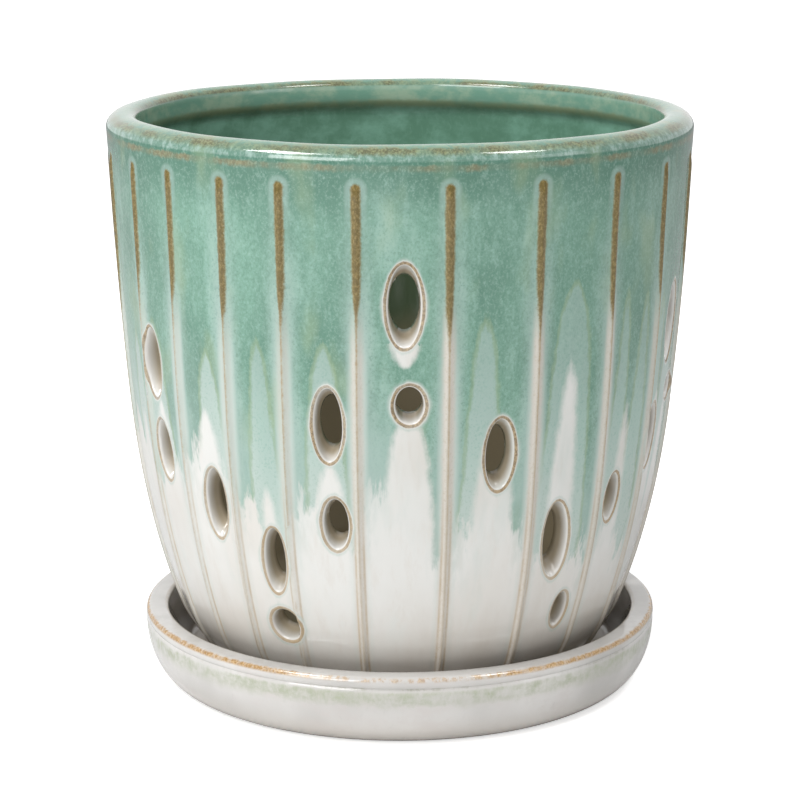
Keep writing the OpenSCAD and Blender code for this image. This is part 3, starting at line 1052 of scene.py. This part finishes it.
def inside_glaze(n, g, z_mm, drop):
    """Cloudy green inside, brighter on the bead of the lip, brown-grey low down."""
    clouds = n.noise(16.0, (1, 1, 1.4), 5.0, 0.65, 31.0)
    dark = n.mix(n.step(clouds, 0.36, 0.66), INSIDE, GREEN_MID)
    dark = n.mix(n.step(g.speck, 0.50, 0.70, 0.0, 0.35), dark, GREEN_MID)
    low_at = n.add(z_mm, n.sway(g.broad, 40.0))
    dark = n.mix(n.step(low_at, *INSIDE_DARKENS), dark, INSIDE_MID)
    dark = n.mix(n.step(low_at, *INSIDE_PALES), dark, INSIDE_LOW)
    bead = n.mix(n.step(clouds, 0.42, 0.62), GREEN_MID, n.mix(0.5, GREEN_PALE, GREEN_YELLOW))
    dark = n.mix(n.step(drop, *BEAD_BRIGHTENS), dark, bead)
    line = n.stripe(n.add(drop, n.sway(g.speck, 1.6)), 6.8, 8.6, 9.2, 11.4)
    return n.mix(n.mul(line, n.step(clouds, 0.34, 0.56, 0.2, 0.6)), dark, OLIVE_LIGHT)


def pot_glaze():
    n = Nodes("pot_glaze")
    g = Grain(n, 1.0)
    x, _, z = n.split()
    x_mm = n.mul(x, 1000.0)
    z_mm = n.mul(z, 1000.0)
    drop = n.math("SUBTRACT", RIM_Z, z_mm)
    whites = white_glaze(n, g, z_mm)
    colour = tongue_paint(n, g, green_glaze(n, g, drop, x_mm), whites)
    colour = ridge_paint(n, g, colour, z_mm, drop)
    colour = slot_paint(n, g, colour, whites, z_mm)
    colour = lip_paint(n, g, colour, drop)
    colour = n.mix(n.field("inner"), colour, inside_glaze(n, g, z_mm, drop))
    colour = n.mix(n.field("bare"), colour, BARE)
    return n.gloss(g, colour, 7.0, 0.6, 9.0, (0.08, 0.17), 0.22)


def saucer_wall_paint(n, g, z_mm, r_mm, drop, blot, jag):
    """Mottled white with a blotchy sage band and a faint crease below the rim."""
    outer = n.step(r_mm, *OUTER_FACE)
    colour = n.mix(n.step(g.broad, 0.36, 0.66), SAUCER_WHITE, SAUCER_GREY)
    colour = n.mix(n.step(blot, 0.46, 0.66, 0.0, 0.5), colour, SAUCER_ROSE)
    colour = n.mix(n.step(g.speck, 0.54, 0.72, 0.0, 0.3), colour, SAUCER_GREY)
    lower = n.mul(n.step(z_mm, *SAUCER_FOOT, 0.0, 0.6), n.step(r_mm, *SAUCER_FOOT_R))
    colour = n.mix(lower, colour, FOOT_GREY)
    band = n.mul(n.step(n.add(drop, n.sway(blot, 14.0)), 11.5, 8.0), n.step(n.add(drop, jag), 4.3, 5.6))
    blotchy = n.mul(n.step(blot, 0.38, 0.58, 0.3, 0.95), n.step(g.speck, 0.36, 0.60, 0.45, 1.0))
    colour = n.mix(n.mul(n.mul(band, blotchy), outer), colour, SAGE)
    top_grey = n.mul(n.step(drop, 1.0, 0.3), n.step(blot, 0.40, 0.62, 0.2, 0.75))
    colour = n.mix(top_grey, colour, SAUCER_GREY)
    crease = n.mul(n.stripe(drop, 3.3, 3.7, 4.1, 4.7), outer)
    faint = n.mul(n.step(g.speck, 0.46, 0.62, 0.1, 0.6), n.step(g.broad, 0.40, 0.60, 0.1, 0.7))
    return n.mix(n.mul(crease, faint), colour, n.mix(0.5, SAGE, BROWN))


def saucer_rim_paint(n, g, colour, x_mm, r_mm, drop, jag):
    """Amber line on the rim's outer corner, strongest at the sides, and a fainter one inside."""
    place = n.add(drop, jag)
    corner = n.stripe(place, 0.0, 0.5, 1.1, 2.0)
    corner = n.mul(corner, n.step(r_mm, SAUCER_R - 2.0, SAUCER_R - 1.5))
    side = n.step(n.math("ABSOLUTE", x_mm), *AMBER_STRENGTHENS)
    patchy = n.add(n.mul(side, 0.7), n.mul(n.step(g.speck, 0.42, 0.60), 0.6))
    patchy = n.math("MINIMUM", patchy, 1.0)
    amber = n.mix(n.step(g.fine, 0.40, 0.62), AMBER, SAND)
    colour = n.mix(n.mul(corner, patchy), colour, amber)
    inner_edge = n.mul(n.step(place, 1.8, 0.9), n.step(n.add(r_mm, jag), *RIM_INNER_EDGE))
    return n.mix(n.mul(inner_edge, n.mul(patchy, 0.4)), colour, TAN)


def saucer_glaze():
    n = Nodes("saucer_glaze")
    g = Grain(n, 21.0)
    x, y, z = n.split()
    x_mm = n.mul(x, 1000.0)
    z_mm = n.mul(z, 1000.0)
    r_mm = n.mul(n.math("SQRT", n.add(n.mul(x, x), n.mul(y, y))), 1000.0)
    drop = n.math("SUBTRACT", SAUCER_H, z_mm)
    blot = n.noise(9.0, (0.7, 0.7, 1.1), 5.0, 0.68, 14.0)
    jag = n.sway(g.speck, 1.0)
    colour = saucer_wall_paint(n, g, z_mm, r_mm, drop, blot, jag)
    colour = saucer_rim_paint(n, g, colour, x_mm, r_mm, drop, jag)
    # Painted shade darkens the inside of the saucer below the rim's top, where little light reaches
    hollow_shade = n.mul(n.step(drop, 1.5, 6.0), n.step(r_mm, *SAUCER_HOLLOW_SHADE))
    colour = n.mix(n.mul(hollow_shade, 0.9), colour, HOLLOW_SHADE)
    colour = n.mix(n.field("bare"), colour, BARE)
    return n.gloss(g, colour, 8.0, 1.0, 16.0, (0.09, 0.19), 0.20)


# Camera, fitted to the photo
CAMERA_AT = (0.0, -0.9014, 0.3106)
CAMERA_DOWN = 13.25
CAMERA_LENS = 117.1

# Floor: its glow for the camera rises with the distance from the pot, so that a soft shadow stays
FLOOR_SIZE = 8.0
FLOOR_GREY = (0.85, 0.85, 0.85, 1)
GLOW_NEAR = 0.62
GLOW_FAR = 1.0
GLOW_FROM = 0.10
GLOW_TO = 0.80

# Plain white room, seen as pure white and much dimmer as a light
WORLD_LEVEL = 0.31
PURE_WHITE = (1, 1, 1, 1)

# Square lamps: name, place, point aimed at, side and watts
LAMPS = [
    ("key_left", (-0.80, -1.15, 0.80), (0, 0, 0.1), 0.8, 13.5),
    ("fill_right", (1.15, -0.60, 0.5), (0, 0, 0.1), 0.5, 1.2),
    ("top_left", (-0.62, -0.30, 1.20), (0, 0, 0.15), 0.36, 7.5),
    ("top_right", (0.62, -0.30, 1.20), (0, 0, 0.15), 0.30, 4.5),
]


def stage_floor():
    mesh = bpy.data.meshes.new("floor")
    h = FLOOR_SIZE / 2
    mesh.from_pydata([(-h, -h, 0), (h, -h, 0), (h, h, 0), (-h, h, 0)], [], [(0, 1, 2, 3)])
    floor = bpy.data.objects.new("floor", mesh)
    bpy.context.scene.collection.objects.link(floor)
    n = Nodes("floor_white")
    path = n.node("ShaderNodeLightPath")
    diffuse = n.node("ShaderNodeBsdfDiffuse")
    n.put(diffuse.inputs["Color"], FLOOR_GREY)
    away = n.node("ShaderNodeVectorMath", operation="LENGTH")
    n.put(away.inputs[0], n.place())
    glow = n.node("ShaderNodeEmission")
    n.put(glow.inputs["Color"], PURE_WHITE)
    n.put(glow.inputs["Strength"], n.step(away.outputs["Value"], GLOW_FROM, GLOW_TO, GLOW_NEAR, GLOW_FAR))
    both = n.node("ShaderNodeAddShader")
    n.put(both.inputs[0], diffuse.outputs[0])
    n.put(both.inputs[1], glow.outputs[0])
    choose = n.node("ShaderNodeMixShader")
    n.put(choose.inputs[0], path.outputs["Is Camera Ray"])
    n.put(choose.inputs[1], diffuse.outputs[0])
    n.put(choose.inputs[2], both.outputs[0])
    mesh.materials.append(n.shown(choose))


def world_light():
    """White for the camera, mirror and see-through rays, and a dim even light for all else."""
    world = bpy.data.worlds.new("studio")
    bpy.context.scene.world = world
    world.use_nodes = True
    tree = world.node_tree
    tree.nodes.clear()
    path = tree.nodes.new("ShaderNodeLightPath")
    seen = path.outputs["Is Camera Ray"]
    for name in ("Is Transmission Ray", "Is Glossy Ray"):
        either = tree.nodes.new("ShaderNodeMath")
        either.operation = "MAXIMUM"
        tree.links.new(seen, either.inputs[0])
        tree.links.new(path.outputs[name], either.inputs[1])
        seen = either.outputs[0]
    strength = tree.nodes.new("ShaderNodeMapRange")
    tree.links.new(seen, strength.inputs["Value"])
    strength.inputs["To Min"].default_value = WORLD_LEVEL
    strength.inputs["To Max"].default_value = 1.0
    back = tree.nodes.new("ShaderNodeBackground")
    back.inputs["Color"].default_value = PURE_WHITE
    tree.links.new(strength.outputs[0], back.inputs["Strength"])
    out = tree.nodes.new("ShaderNodeOutputWorld")
    tree.links.new(back.outputs[0], out.inputs[0])


def lamp(name, at, aim, size, watts):
    data = bpy.data.lights.new(name, "AREA")
    data.energy = watts
    data.shape = "SQUARE"
    data.size = size
    obj = bpy.data.objects.new(name, data)
    bpy.context.scene.collection.objects.link(obj)
    obj.location = at
    obj.rotation_euler = (Vector(aim) - Vector(at)).to_track_quat("-Z", "Y").to_euler()


def camera():
    data = bpy.data.cameras.new("photo_camera")
    data.lens = CAMERA_LENS
    data.sensor_width = 36
    data.clip_start = 0.05
    cam = bpy.data.objects.new("photo_camera", data)
    bpy.context.scene.collection.objects.link(cam)
    cam.location = CAMERA_AT
    cam.rotation_euler = (math.radians(90 - CAMERA_DOWN), 0, 0)
    bpy.context.scene.camera = cam


def build():
    pot = new_object("pot_glazed", pot_mesh())
    face_outward(pot)
    pot.data.materials.append(pot_glaze())
    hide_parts("pot")
    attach(pot, "pot")
    saucer = new_object("saucer_glazed", saucer_mesh())
    face_outward(saucer)
    saucer.data.materials.append(saucer_glaze())
    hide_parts("saucer")
    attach(saucer, "saucer")


build()
stage_floor()
world_light()
for lamp_values in LAMPS:
    lamp(*lamp_values)
camera()
bpy.context.scene.view_settings.view_transform = "Standard"
